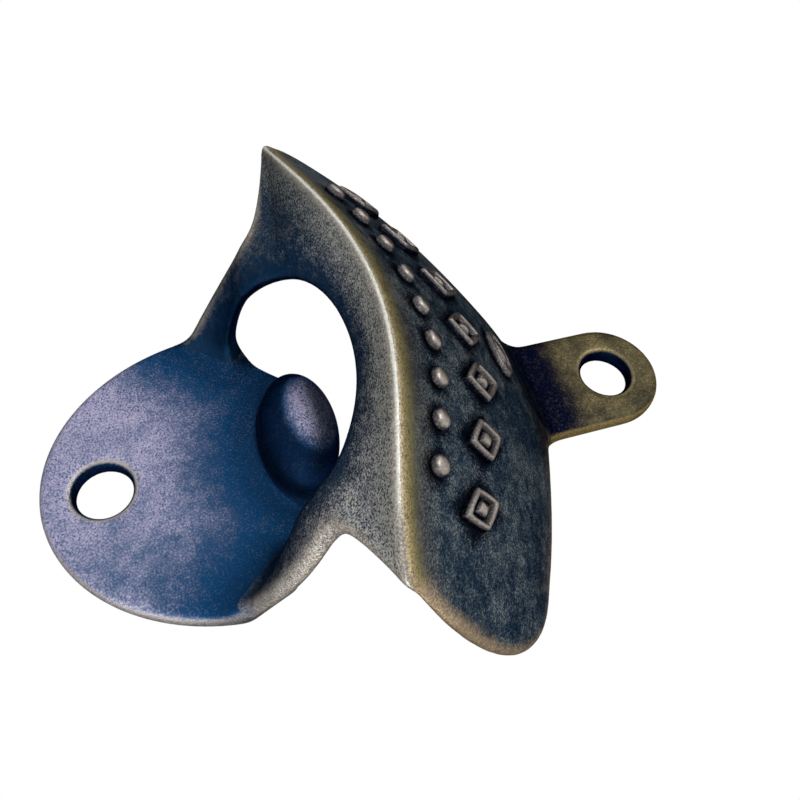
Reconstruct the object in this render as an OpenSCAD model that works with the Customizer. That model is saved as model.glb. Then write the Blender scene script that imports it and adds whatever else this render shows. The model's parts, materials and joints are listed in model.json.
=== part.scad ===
// Wall-mounted bottle opener: one heavy casting, drawn as the regions that a founder would name.
// Millimetres. The wall is the plane y = 0 and the front looks towards -Y. +Z runs up the wall.
// The origin lies on the wall, midway between the two screw holes.
// Free curves are written as [across, off the wall, up the wall] and turned into x, y, z at the end.

/* [Screw holes] */
// Distance between the two screw holes
hole_spacing = 65.5; // [62:0.5:68]
// Diameter of each screw hole
hole_d = 6.6; // [4:0.1:7.4]
// Width of the bevel round the front of each screw hole
hole_bevel = 0.4; // [0.2:0.1:0.8]

/* [Wall plate] */
// Thickness of the plate and of the ear
plate_t = 2.7; // [2:0.1:3.4]
// Width of the plate outside the arms' feet, at its widest
plate_side = 0.7; // [0.2:0.1:2]
// Full height of the oval that the plate is cut from
plate_h = 46.6; // [44:0.2:50]
// Metal between the centre of the lower hole and the bottom edge
plate_margin = 7.25; // [5.5:0.25:9]
// Height at which the oval is cut off below the cap opening
plate_top = -13.6; // [-15:0.1:-12.6]
// Width of the bevel round the front of the plate
plate_bevel = 0.7; // [0.3:0.1:1.2]
// Half width of the tongue behind the knob
tongue_half = 11.4; // [10:0.1:12]
// Height of the tongue's rounded top
tongue_top = -5.6; // [-7:0.1:-4.8]
// Width by which the plate draws in behind the arms, above the notch
notch_draw = 1.8; // [1.2:0.1:3]

/* [Fulcrum knob] */
// Half length of the knob across the plate
knob_half = 9.2; // [7:0.1:11]
// Radius of the knob at its middle
knob_r = 4.5; // [3.6:0.1:5.4]
// Distance of the knob's long axis from the wall
knob_off = 4.1; // [3.4:0.1:5]
// Height of the knob's long axis
knob_z = -9.3; // [-10:0.1:-8.6]

/* [Top ear] */
// Radius of the ear's round end
ear_r = 7.25; // [6:0.05:8.5]
// Height at which the hood runs into the ear
ear_root = 21; // [19:0.1:23]

/* [Lip] */
// Reach of the lip's ridge off the wall, at the middle
lip_reach = 30.2; // [27:0.2:33]
// Height of the ridge at the middle
lip_z = -1.4; // [-3:0.1:0]
// Step in from the wings' widest point to the hood's lower corners
corner_in = 4.5; // [3:0.5:6]
// Reach of the lower corners off the wall
corner_reach = 25.2; // [23:0.2:27]
// Height of the lower corners
corner_z = -6.7; // [-8:0.1:-5.5]
// Reach of the catching edge off the wall, at the middle
catch_reach = 22.6; // [20:0.2:24]
// Height of the catching edge at the middle
catch_z = -4.2; // [-5:0.1:-3.2]
// Thickness of the catching edge
catch_t = 2.2; // [1.4:0.1:3]
// Depth of the thick root of the lip, back from its ridge
lip_root = 5.7; // [4:0.1:6.5]

/* [Arms] */
// Half width of the cap opening where the arms meet the plate
opening_half = 15; // [13.5:0.1:17]
// Width of an arm where it meets the plate
arm_w = 3.8; // [3:0.1:5]
// Thickness of an arm
arm_t = 2.4; // [1.6:0.1:3]
// Height of the arms' outer edge at the plate
arm_z = -19.8; // [-22:0.1:-18]
// Height of the opening's edge at the plate
opening_z = -14.6; // [-15.4:0.1:-14.2]

/* [Hood] */
// Half width over the wings
wing_half = 32.5; // [30:0.5:35]
// Thickness of the hood's wall
hood_t = 2.6; // [2:0.1:3.4]
// Thickness of the hood's free side edges
edge_t = 1.5; // [1:0.1:2.4]
// Swell of the hood's face above a straight line, in its lower third
low_swell = 0.5; // [0:0.1:1.2]
// Swell of the hood's face above a straight line, in its upper third
high_swell = 2.2; // [1:0.1:2.6]

/* [Relief] */
// Height of the raised ornament
relief_h = 1; // [0.4:0.1:1.6]
// Distance between the middles of neighbouring lozenges
lozenge_pitch = 6.9; // [6:0.1:7.4]
// Distance of the lozenge row from the ridge, up the hood's face
lozenge_up = 15; // [13.5:0.1:16]
// Half width of a lozenge along the row
lozenge_half = 2.5; // [1.6:0.1:2.8]
// Half height of a lozenge up the hood
lozenge_rise = 3.4; // [2:0.1:4]
// Radius of a small stud
stud_r = 1.15; // [0.7:0.05:1.4]
// Distance between the middles of neighbouring studs
stud_pitch = 4.4; // [3.4:0.1:5]
// Distance of the stud row from the ridge, up the hood's face
stud_up = 7; // [5:0.1:8]
// Half width of the oval boss
boss_half = 3.4; // [2.4:0.1:4.2]
// Half height of the oval boss
boss_rise = 1.9; // [1.4:0.1:2.6]
// Distance of the boss from the ridge, up the hood's face
boss_up = 23.5; // [22.5:0.1:25]

/* [Hidden] */
$fn = 64;
bronze = [0.30, 0.27, 0.24];
slate = [0.24, 0.26, 0.33];
brass = [0.46, 0.40, 0.26];
cut = 0.1;
// Clearance under the relief, which clears the sag of the face's facets
seat = 0.05;

hole_low = -hole_spacing / 2;
hole_high = hole_spacing / 2;
plate_mid = hole_low - plate_margin + plate_h / 2;
arm_half = opening_half + arm_w;
plate_w = 2 * (arm_half + plate_side);
corner_half = wing_half - corner_in;

// Steps along the hood and across it, along an arm and across it, and round an outline
hood_steps = 44;
face_steps = 10;
arm_steps = 14;
band_steps = 5;
outline_steps = 96;

// Share of the hood's length, from the middle out, that runs into the ear
ear_share = 0.2;
// Share of the opening's edge, from the middle out, that belongs to the lip
lip_share = 0.45;

// Vectors
function lerp(a, b, t) = a + (b - a) * t;
function unit(v) = v / norm(v);
function bezier(p, t) =
    p[0] * pow(1 - t, 3) + 3 * p[1] * t * pow(1 - t, 2) + 3 * p[2] * t * t * (1 - t) + p[3] * pow(t, 3);
// One half of a symmetric curve serves both sides
function both_sides(p, u) = [sign(u) * p[0], p[1], p[2]];
function to_frame(p) = [p[0], -p[1], p[2]];

// Curves of the right half, from the middle out
corner = [corner_half, corner_reach, corner_z];
ridge_pts = [
    [0, lip_reach, lip_z],
    [corner_half * 0.39, lip_reach, lip_z],
    [corner_half * 0.68, lip_reach - 0.2, corner_z + 0.3],
    corner
];
// The side edge leaves the corner a little above the ridge, so the corner stays blunt
side_end = corner + [0.9, -1.6, 1.6];
side_pts = [
    [ear_r, plate_t, ear_root],
    [wing_half - 4.4, plate_t + 4.6, ear_root - 8.8],
    [wing_half + 6.3, plate_t - 0.6, ear_root - 12.6],
    side_end
];
opening_pts = [
    [0, catch_reach, catch_z],
    [opening_half - 2.8, catch_reach, catch_z],
    [opening_half + 0.4, catch_reach - 3.1, opening_z + 0.6],
    [opening_half, plate_t, opening_z]
];
arm_pts = [
    corner,
    [arm_half - 5.9, corner_reach - 7, corner_z - 5.9],
    [arm_half + 3.5, corner_reach - 3.1, corner_z - 0.9],
    [arm_half, plate_t, arm_z]
];

// Ridge, catching edge and upper edge at u, which runs from -1 to 1 across the opener
function ridge(u) = both_sides(bezier(ridge_pts, abs(u)), u);
function catch_edge(u) = both_sides(bezier(opening_pts, lip_share * abs(u)), u);
function upper_edge(u) =
    abs(u) <= ear_share
        ? [u / ear_share * ear_r, plate_t, ear_root]
        : both_sides(bezier(side_pts, (abs(u) - ear_share) / (1 - ear_share)), u);

// Wall offsets: into the hood's hollow, up from the catching edge, and from the ridge to the inner corner
inward = unit([0, -0.64, -0.77]);
upward = unit([0, -0.3, 0.95]) * catch_t;
function ear_blend(u) = min(1, max(0, (abs(u) - ear_share) / 0.25));
function edge_aim(u) = unit(lerp([-0.5, -0.6, -0.6], [-0.6, -0.7, -0.1], pow(abs(u), 6)));
function edge_wall(u) = lerp([0, -plate_t, 0], both_sides(edge_aim(u), u) * edge_t, ear_blend(u));
function lip_wall(u) = both_sides(lerp([0, -lip_root, 1.4], [-1.5, -2.3, 1], pow(abs(u), 2)), u);
function inner_ridge(u) = ridge(u) + lip_wall(u);
function inner_edge(u) = upper_edge(u) + edge_wall(u);

// Outer and inner face of the hood, v from the ridge up to the upper edge
function wave(u, v) =
    -inward * lerp(low_swell, high_swell, v) * 4 * v * (1 - v) * (1 - pow(u, 2));
function wall(u, v) = inward * (hood_t - edge_t) * sin(180 * v) * ear_blend(1 - abs(u) + ear_share);
function face(u, v) = lerp(ridge(u), upper_edge(u), v) + wave(u, v);
function back(u, v) = lerp(inner_ridge(u), inner_edge(u), v) + wave(u, v) + wall(u, v);

function span(n) = [for (i = [0 : n]) i / n];
function wide_span(n) = [for (i = [0 : n]) 2 * i / n - 1];

// Closed slab between two grids of points; turned picks the other diagonal for the rim's triangles
module slab(front, rear, turned = false) {
    rows = len(front);
    cols = len(front[0]);
    points = [for (grid = [front, rear]) for (row = grid) for (p = row) to_frame(p)];
    rear_at = rows * cols;
    edge_loop = concat(
        [for (j = [0 : cols - 2]) j],
        [for (i = [0 : rows - 2]) i * cols + cols - 1],
        [for (j = [cols - 1 : -1 : 1]) (rows - 1) * cols + j],
        [for (i = [rows - 1 : -1 : 1]) i * cols]
    );
    front_faces = [for (i = [0 : rows - 2]) for (j = [0 : cols - 2]) let (a = i * cols + j)
        each [[a, a + cols, a + cols + 1], [a, a + cols + 1, a + 1]]];
    rear_faces = [for (f = front_faces) [f[2], f[1], f[0]] + [1, 1, 1] * rear_at];
    rim_faces = [for (k = [0 : len(edge_loop) - 1])
        let (a = edge_loop[k], b = edge_loop[(k + 1) % len(edge_loop)])
        each turned
            ? [[a, b, a + rear_at], [b, b + rear_at, a + rear_at]]
            : [[a, b, b + rear_at], [a, b + rear_at, a + rear_at]]];
    polyhedron(points, concat(front_faces, rear_faces, rim_faces));
}

// Prism with a bevelled front: outlines in x and z, stacked off the wall
module bevelled_prism(outline, inset_outline, thickness, bevel) {
    n = len(outline);
    levels = [[outline, 0], [outline, thickness - bevel], [inset_outline, thickness]];
    points = [for (level = levels) for (p = level[0]) [p[0], -level[1], p[1]]];
    walls = [for (k = [0 : len(levels) - 2]) for (i = [0 : n - 1])
        let (a = k * n + i, b = k * n + (i + 1) % n)
        each [[a, a + n, b + n], [a, b + n, b]]];
    wall_side = [for (i = [0 : n - 1]) i];
    front_side = [for (i = [n - 1 : -1 : 0]) (len(levels) - 1) * n + i];
    polyhedron(points, concat(walls, [wall_side, front_side]));
}

// Screw hole with a bevelled front rim
module screw_hole(z) {
    translate([0, 0, z]) rotate([90, 0, 0]) {
        translate([0, 0, -cut]) cylinder(d = hole_d, h = plate_t + 2 * cut);
        translate([0, 0, plate_t - hole_bevel])
            cylinder(d1 = hole_d, d2 = hole_d + 2 * hole_bevel + 2 * cut, h = hole_bevel + cut);
    }
}

// Oval up to the notches, drawn in behind the arms, with the tongue that backs the knob
function plate_outline(inset) =
    let (
        half_w = plate_w / 2 - inset,
        half_h = plate_h / 2 - inset,
        low_angle = asin((arm_z - plate_mid) / half_h),
        shoulder = arm_half - notch_draw - inset,
        top = plate_top - inset
    )
    concat(
        [for (i = [0 : outline_steps]) let (a = 180 - low_angle + i / outline_steps * (180 + 2 * low_angle))
            [half_w * cos(a), plate_mid + half_h * sin(a)]],
        [for (i = [0 : outline_steps / 2]) let (x = shoulder * cos(180 * i / (outline_steps / 2)))
            [x, top + (tongue_top - plate_top) * exp(-pow(abs(x) / (tongue_half - inset), 5))]]
    );

// Point of the hood's face at a distance x from the middle: u is found by halving its range
function u_at(x, v, low = 0, high = 1, n = 24) =
    let (mid = (low + high) / 2)
    n == 0 ? mid : face(mid, v)[0] < x ? u_at(x, v, mid, high, n - 1) : u_at(x, v, low, mid, n - 1);
function face_at(x, v) = both_sides(face(u_at(abs(x), v), v), x < 0 ? -1 : 1);
function face_length(x) = norm(face_at(x, 0.95) - face_at(x, 0.05)) / 0.9;

// Raised pad on the hood's face: its foot follows the face, its top is drawn in by the draft
module pad(x, up, half, rise, corners, sides, draft) {
    v = up / face_length(0);
    step = 0.1;
    along = face_at(x + step, v) - face_at(x - step, v);
    rising = face_at(x, v + step) - face_at(x, v - step);
    lift = unit(cross(along, rising)) * -1;
    n = corners * sides;
    rim = [for (k = [0 : corners - 1]) for (i = [0 : sides - 1])
        let (a = 360 * k / corners, b = 360 * (k + 1) / corners)
        lerp([cos(a), sin(a)], [cos(b), sin(b)], i / sides)];
    function ring(size) = [for (p = rim) face_at(x + p[0] * half * size, v + p[1] * rise / face_length(x) * size)];
    foot = [for (p = ring(1)) p + lift * seat];
    foot_mid = [for (p = ring(0.5)) p + lift * seat];
    top = [for (p = ring(draft)) p + lift * (seat + relief_h)];
    middle = face_at(x, v) + lift * seat;
    points = [for (p = concat(foot_mid, foot, top, [middle, middle + lift * relief_h])) to_frame(p)];
    faces = [for (i = [0 : n - 1]) let (j = (i + 1) % n)
        each [[2 * n + i, 2 * n + j, 3 * n + 1],
              [n + i, n + j, 2 * n + j], [n + i, 2 * n + j, 2 * n + i],
              [i, j, n + j], [i, n + j, n + i],
              [j, i, 3 * n]]];
    polyhedron(points, [for (f = faces) [f[2], f[1], f[0]]]);
}

// Lower oval plate with its screw hole
module wall_plate() {
    color(slate) difference() {
        bevelled_prism(plate_outline(0), plate_outline(plate_bevel), plate_t, plate_bevel);
        screw_hole(hole_low);
    }
}

// Spindle that the bottle cap tips over, flat where it stands on the plate
module fulcrum_knob() {
    profile = [for (i = [0 : 24]) let (a = 180 * i / 24) [knob_r * sin(a), -knob_half * cos(a)]];
    color(slate) difference() {
        translate([0, -knob_off, knob_z]) rotate([0, 90, 0]) rotate_extrude() polygon(profile);
        translate([-knob_half - cut, -plate_t, knob_z - knob_r - cut])
            cube([2 * (knob_half + cut), plate_t + knob_r, 2 * (knob_r + cut)]);
    }
}

// Way through an arm's thickness, from the corner down to the plate
function arm_aim(s) = unit(lerp([0.1, -0.85, 0.5], [0.78, 0, 0.62], s));
// An arm lies half below and half above its edge curve, apart from the corner, where it takes the lip's section
function arm_low(p, s) = p - arm_aim(s) * arm_t / 2 * min(1, 2 * s);

// Arm from the hood's lower corner back to the plate; turned makes its end match the lip's end on that side
module arm(turned) {
    outer = [for (s = span(arm_steps)) arm_low(bezier(arm_pts, s), s)];
    inner = [for (s = span(arm_steps)) arm_low(bezier(opening_pts, lerp(lip_share, 1, s)), s)];
    outer_up = [for (i = [0 : arm_steps]) let (s = i / arm_steps)
        outer[i] + lerp(lip_wall(1), arm_aim(s) * arm_t, min(1, 2 * s))];
    inner_up = [for (i = [0 : arm_steps]) let (s = i / arm_steps)
        inner[i] + lerp(upward, arm_aim(s) * arm_t, min(1, 2 * s))];
    color(bronze) slab(
        [for (i = [0 : arm_steps]) [for (w = span(band_steps)) lerp(outer[i], inner[i], w)]],
        [for (i = [0 : arm_steps]) [for (w = span(band_steps)) lerp(outer_up[i], inner_up[i], w)]],
        turned
    );
}

module right_arm() {
    arm(turned = true);
}

module left_arm() {
    mirror([1, 0, 0]) arm(turned = false);
}

// Thick lip between the ridge and the catching edge
module cap_lip() {
    color(bronze) slab(
        [for (u = wide_span(hood_steps)) [for (w = span(band_steps)) lerp(ridge(u), catch_edge(u), w)]],
        [for (u = wide_span(hood_steps)) [for (w = span(band_steps))
            lerp(inner_ridge(u), catch_edge(u) + upward, w)]]
    );
}

// Flared hood, hollow behind and open towards the wall
module hood() {
    color(slate) slab(
        [for (u = wide_span(hood_steps)) [for (v = span(face_steps)) back(u, v)]],
        [for (u = wide_span(hood_steps)) [for (v = span(face_steps)) face(u, v)]],
        turned = true
    );
}

// Upper ear with its screw hole
module top_ear() {
    color(brass) difference() {
        union() {
            translate([0, 0, hole_high]) rotate([90, 0, 0]) cylinder(r = ear_r, h = plate_t);
            translate([-ear_r, -plate_t, ear_root]) cube([2 * ear_r, plate_t, hole_high - ear_root]);
        }
        screw_hole(hole_high);
    }
}

// Row of lozenges across the middle of the hood
module lozenge_row() {
    color(brass) for (k = [-3 : 3])
        pad(k * lozenge_pitch, lozenge_up, lozenge_half, lozenge_rise, 4, 3, 0.62);
}

// Row of small studs above the lip
module stud_row() {
    color(brass) for (k = [-4 : 4]) pad(k * stud_pitch, stud_up, stud_r, stud_r, 12, 1, 0.7);
}

// Oval boss below the ear
module oval_boss() {
    color(brass) pad(0, boss_up, boss_half, boss_rise, 24, 1, 0.75);
}

wall_plate();
fulcrum_knob();
left_arm();
right_arm();
cap_lip();
hood();
top_ear();
lozenge_row();
stud_row();
oval_boss();
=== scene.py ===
# %% [markdown]
# # A cast wall opener
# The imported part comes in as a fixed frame: each named region of the casting is already in its place, in metres.
# The real opener is one casting, so the looks are made from those regions and never by moving them.
# The box of the bare part is kept, because the dressed part may not grow out of it.

# %% Load the frame
import json
import math
import bpy
import numpy as np
import openvdb as vdb
from mathutils import Matrix, Vector, kdtree

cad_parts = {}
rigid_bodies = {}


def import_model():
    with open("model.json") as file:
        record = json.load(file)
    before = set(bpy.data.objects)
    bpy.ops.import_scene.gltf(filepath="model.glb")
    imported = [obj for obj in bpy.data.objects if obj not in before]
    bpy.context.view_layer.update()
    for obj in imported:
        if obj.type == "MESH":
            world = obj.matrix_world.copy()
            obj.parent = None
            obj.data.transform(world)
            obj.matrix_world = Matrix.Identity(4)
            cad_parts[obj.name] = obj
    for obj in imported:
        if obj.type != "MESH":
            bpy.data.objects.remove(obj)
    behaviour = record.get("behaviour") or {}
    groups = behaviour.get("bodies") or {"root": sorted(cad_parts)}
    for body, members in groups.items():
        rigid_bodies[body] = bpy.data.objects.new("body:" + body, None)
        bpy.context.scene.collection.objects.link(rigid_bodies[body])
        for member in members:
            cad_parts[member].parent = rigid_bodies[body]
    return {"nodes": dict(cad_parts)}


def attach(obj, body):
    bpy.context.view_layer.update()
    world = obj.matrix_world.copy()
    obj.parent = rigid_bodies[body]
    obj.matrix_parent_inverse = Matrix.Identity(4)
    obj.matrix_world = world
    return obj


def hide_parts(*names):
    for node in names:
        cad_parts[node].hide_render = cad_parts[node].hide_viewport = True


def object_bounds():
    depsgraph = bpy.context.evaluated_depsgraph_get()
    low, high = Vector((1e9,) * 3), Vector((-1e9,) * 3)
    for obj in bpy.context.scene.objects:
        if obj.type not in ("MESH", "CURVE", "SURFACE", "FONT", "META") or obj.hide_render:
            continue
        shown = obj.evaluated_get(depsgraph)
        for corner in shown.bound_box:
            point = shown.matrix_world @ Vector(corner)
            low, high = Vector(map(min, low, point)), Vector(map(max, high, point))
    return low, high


for leftover in list(bpy.data.objects):
    bpy.data.objects.remove(leftover)
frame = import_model()

cad_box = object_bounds()
MM = 0.001
nodes = frame["nodes"]
scene = bpy.context.scene
scene.view_settings.view_transform = "Standard"
print("nodes", sorted(nodes), "box", [[round(v, 4) for v in corner] for corner in cad_box])

# %% [markdown]
# ## Camera
# The photo looks at the opener from below and from its right, close up, with the wall side turned away.
# The numbers are where a camera has to stand so that the plate, both screw holes, the ear and the wings
# land where the photo shows them. Width of the sensor and lens give the same field of view as the photo.

# %% Place the camera
EYE = Vector((45.12, -85.53, -18.27)) * MM
LOOK = Vector((-0.48769, 0.84219, 0.22994))
IMAGE_RIGHT = Vector((0.30411, -0.083, 0.94901))
IMAGE_UP = Vector((-0.81834, -0.53275, 0.21564))

camera_data = bpy.data.cameras.new("photo_camera")
camera_data.sensor_width = 36.0
camera_data.lens = 34.493
camera_data.clip_start = 0.005
camera_data.clip_end = 20.0
camera = bpy.data.objects.new("photo_camera", camera_data)
camera.matrix_world = Matrix((
    (IMAGE_RIGHT.x, IMAGE_UP.x, -LOOK.x, EYE.x),
    (IMAGE_RIGHT.y, IMAGE_UP.y, -LOOK.y, EYE.y),
    (IMAGE_RIGHT.z, IMAGE_UP.z, -LOOK.z, EYE.z),
    (0, 0, 0, 1)))
scene.collection.objects.link(camera)
scene.camera = camera
print("camera at", [round(v, 4) for v in EYE], "lens", camera_data.lens)

# %% [markdown]
# ## The casting as distances
# A casting has no sharp inner corners: metal flows into each corner and sand rounds off each edge. Bevels on joined
# meshes break where many faces meet, so the regions are turned into a field of distances instead: for each point of a
# fine lattice, how far it is from the metal. The form can then be filled, rounded and cut by plain sums on that field.

# %% Lattice
VOXEL = 0.25 * MM
MARGIN = 5.5 * MM
BAND = round(4.8 * MM / VOXEL)
FAR = BAND * VOXEL
LOW = np.floor((np.array(cad_box[0]) - MARGIN) / VOXEL).astype(int)
HIGH = np.ceil((np.array(cad_box[1]) + MARGIN) / VOXEL).astype(int)
SHAPE = tuple(int(n) for n in HIGH - LOW + 1)
LATTICE = vdb.createLinearTransform(voxelSize=VOXEL)
axis_x, axis_y, axis_z = (((np.arange(SHAPE[a]) + LOW[a]) * VOXEL / MM).astype(np.float32) for a in range(3))
across = np.abs(axis_x)[:, None, None]
off_wall = -axis_y[None, :, None]
up_wall = axis_z[None, None, :]
print("lattice", SHAPE, "of", VOXEL / MM, "mm, known", BAND, "points deep")

# %% Distances of each region


def distances(points, triangles, quads):
    grid = vdb.FloatGrid.createLevelSetFromPolygons(
        np.ascontiguousarray(points, np.float32), triangles=np.ascontiguousarray(triangles, np.uint32),
        quads=np.ascontiguousarray(quads, np.uint32), transform=LATTICE, halfWidth=BAND)
    field = np.empty(SHAPE, np.float32)
    grid.copyToArray(field, ijk=tuple(int(n) for n in LOW))
    return field


def node_distances(name):
    mesh = nodes[name].data
    mesh.calc_loop_triangles()
    points = np.array([v.co for v in mesh.vertices], np.float32)
    triangles = np.array([t.vertices for t in mesh.loop_triangles], np.uint32)
    return distances(points, triangles, np.empty((0, 4), np.uint32))


REGIONS = ("wall_plate", "fulcrum_knob", "left_arm", "right_arm", "cap_lip", "hood", "top_ear")
near = {name: node_distances(name) for name in REGIONS}
print("deepest point, mm", {name: round(float(-near[name].min()) / MM, 2) for name in REGIONS})

# %% [markdown]
# ## The knob
# The cap tips over a smooth knob on the plate. A sphere would be too round for it and a turned form too regular: the
# real one is longer than it is high, and it leans towards the lip. Its field is therefore written directly: half an
# ellipsoid above the waist, a straight oval post below it, and the lean as a shift that grows with the height.

# %% Field of the knob
PLATE_FACE = 2.7
KNOB_TOP, KNOB_WAIST, KNOB_Z, KNOB_LEAN = 10.4, 5.6, -10.0, 0.17
KNOB_HALF = (7.9, 4.5)
KNOB_FOOT = 1.0


def knob_dome():
    along = across / KNOB_HALF[0]
    beyond = np.maximum(off_wall - KNOB_WAIST, 0) / (KNOB_TOP - KNOB_WAIST)
    high = (up_wall - KNOB_Z - KNOB_LEAN * (off_wall - PLATE_FACE)) / KNOB_HALF[1]
    reach = np.sqrt(along ** 2 + beyond ** 2 + high ** 2)
    steep = np.sqrt((along / KNOB_HALF[0]) ** 2 + (beyond / (KNOB_TOP - KNOB_WAIST)) ** 2
                    + (high / KNOB_HALF[1]) ** 2)
    dome = reach * (reach - 1) / np.maximum(steep, 1e-6)
    return np.maximum(dome, KNOB_FOOT - off_wall).astype(np.float32) * np.float32(MM)


knob = knob_dome()
print("knob stands", round(KNOB_TOP - PLATE_FACE, 2), "mm off the plate, deepest", round(float(-knob.min()) / MM, 2))

# %% [markdown]
# ## Corners and edges
# Molten metal leaves a fillet in each corner, wider under the ear and at the feet of the arms. Growing the form by a
# radius, making its skin anew and shrinking it by the same radius fills each corner with that radius and leaves the
# rest. A blur of the field then rounds the outer edges as sand does, without the steps that the lattice would leave.

# %% Tools that fill and round


def skin(field, level=0.0):
    grid = vdb.FloatGrid(FAR)
    grid.transform = LATTICE
    grid.gridClass = vdb.GridClass.LEVEL_SET
    grid.copyFromArray(np.ascontiguousarray(field, np.float32), ijk=tuple(int(n) for n in LOW))
    return grid.convertToPolygons(level, 0.0)


def filled(field, radius):
    return distances(*skin(field, radius)) + radius


def mean_over(field, radius):
    reach = max(1, round(radius / VOXEL))
    for axis in (0, 1, 2):
        padding = [(reach + 1, reach) if a == axis else (0, 0) for a in range(3)]
        total = np.cumsum(np.pad(field, padding, mode="edge"), axis=axis)
        count = field.shape[axis]
        upper = np.take(total, range(2 * reach + 1, 2 * reach + 1 + count), axis=axis)
        lower = np.take(total, range(count), axis=axis)
        field = (upper - lower) / (2 * reach + 1)
    return field


def softened(field, radius):
    return mean_over(mean_over(field, radius), radius)


def ramp(value, start, end):
    t = np.clip((value - start) / (end - start), 0, 1)
    return t * t * (3 - 2 * t)


print("a ramp from 0 to 2 passes", ramp(1.0, 0, 2), "at its middle")

# %% Fill the corners and round the edges
JOIN = 0.08 * MM
TIGHT_FILLET, WIDE_FILLET, BLUR = 1.0 * MM, 3.0 * MM, 0.5 * MM
TIP_GROWTH = 0.3 * MM
whole = knob
for name in REGIONS:
    if name != "fulcrum_knob":
        np.minimum(whole, near[name], out=whole)
whole = distances(*skin(whole, JOIN)) + JOIN
ear_zone = ramp(up_wall, 14, 19) * ramp(across, 17, 12)
foot_zone = ramp(off_wall, 12, 7) * ramp(across, 9.5, 12.5) * ramp(up_wall, -6, -10)
wide_zone = np.clip(ear_zone + foot_zone, 0, 1)
tight = filled(whole, TIGHT_FILLET)
wide = filled(whole, WIDE_FILLET)
cast = tight + (wide - tight) * wide_zone
cast = softened(cast, BLUR) - TIP_GROWTH * ramp(across, 25, 31)
points, triangles, quads = skin(cast)
print("casting", len(points), "points", len(quads), "quads")

# %% [markdown]
# ## Reading the field
# The same field answers three more questions. Its slope is the exact direction in which the surface faces, which gives
# smooth shading without any seam. Its mean over a small block tells edges from hollows: on an edge the block holds more
# air than metal. Where two regions are equally near lies the seam between them.

# %% Value, slope and mean of the field


def sample(field, spots):
    place = np.clip(spots / VOXEL - LOW, 0, np.array(SHAPE) - 1.001)
    cell = np.floor(place).astype(int)
    part = place - cell
    total = np.zeros(len(spots))
    for corner in range(8):
        step = np.array([corner >> 2 & 1, corner >> 1 & 1, corner & 1])
        weight = np.prod(np.where(step, part, 1 - part), axis=1)
        i, j, k = (cell + step).T
        total += weight * field[i, j, k]
    return total


def slope(field, spots):
    reach = 0.6 * VOXEL
    way = np.stack([sample(field, spots + reach * np.eye(3)[a]) - sample(field, spots - reach * np.eye(3)[a])
                    for a in range(3)], axis=1)
    return way / np.maximum(np.linalg.norm(way, axis=1, keepdims=True), 1e-12)


EDGE_REACH, HOLLOW_REACH = 0.75 * MM, 3.0 * MM
small_mean = mean_over(cast, EDGE_REACH)
large_mean = mean_over(cast, HOLLOW_REACH)
print("means made; largest edge value", round(float(small_mean.max()) / MM, 2), "mm")

# %% [markdown]
# ## One casting, seven named pieces
# The smooth casting is cut along its seams, so each named region keeps a closed solid of its own and can be found,
# hidden or repainted by itself. A cell holds all points that lie nearest to one region. Cutting the casting with each
# cell gives pieces that meet face to face, and the shared slope of the field hides the seams.

# %% A cell round each region
CELL_REACH = 0.7 * FAR


def cells():
    stack = np.stack([near[name] for name in REGIONS])
    first = stack.min(axis=0)
    owner = stack.argmin(axis=0)
    np.put_along_axis(stack, owner[None], np.float32(2 * FAR), axis=0)
    second = stack.min(axis=0)
    del stack
    for index, name in enumerate(REGIONS):
        other = np.where(owner == index, second, first)
        cell = near[name] - np.minimum(other, CELL_REACH)
        for axis in range(3):
            edge = [slice(None)] * 3
            for side in (0, -1):
                edge[axis] = side
                cell[tuple(edge)] = FAR
        yield name, cell


print("a cell reaches", round(CELL_REACH / MM, 2), "mm beyond its region")

# %% Cut the casting into its pieces


def solid(name, points, triangles, quads):
    mesh = bpy.data.meshes.new(name)
    mesh.from_pydata(points.tolist(), [], quads[:, ::-1].tolist() + triangles[:, ::-1].tolist())
    made = bpy.data.objects.new(name, mesh)
    scene.collection.objects.link(made)
    return made


def coordinates(mesh):
    spots = np.empty(3 * len(mesh.vertices), np.float32)
    mesh.vertices.foreach_get("co", spots)
    return spots.reshape(-1, 3).astype(float)


PIECE_NAMES = {"wall_plate": "oval_plate", "fulcrum_knob": "cap_knob", "left_arm": "arm_left",
               "right_arm": "arm_right", "cap_lip": "catching_lip", "hood": "flared_hood", "top_ear": "screw_ear"}
WALL_SIDE = [1, 0, 1]
casting = solid("whole_casting", points, triangles, quads)
pieces = {}
for name, cell in cells():
    cutter = solid("cell_" + name, *skin(cell))
    piece = bpy.data.objects.new(PIECE_NAMES[name], casting.data)
    scene.collection.objects.link(piece)
    cut = piece.modifiers.new("cell", "BOOLEAN")
    cut.operation = "INTERSECT"
    cut.solver = "MANIFOLD"
    cut.object = cutter
    made = bpy.data.meshes.new_from_object(piece.evaluated_get(bpy.context.evaluated_depsgraph_get()))
    piece.modifiers.clear()
    piece.data = made
    spots = coordinates(made)
    made.vertices.foreach_set("co", np.minimum(spots, WALL_SIDE).ravel())
    made.name = PIECE_NAMES[name]
    made.materials.clear()
    bpy.data.objects.remove(cutter)
    pieces[name] = piece
    print(piece.name, len(made.vertices), "points", len(made.polygons), "faces")
bpy.data.objects.remove(casting)

# %% [markdown]
# ## Masks for wear and colour
# Hands and cloth rub the edges of such a casting bright, and dark wax stays in its hollows. Each point of a piece
# therefore carries a few numbers that the finishes read: how much it is an edge, how deep it lies in a hollow, how far
# it is from the lip's ridge and from the rim of the mouth, and how close the raised ornament is.

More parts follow.
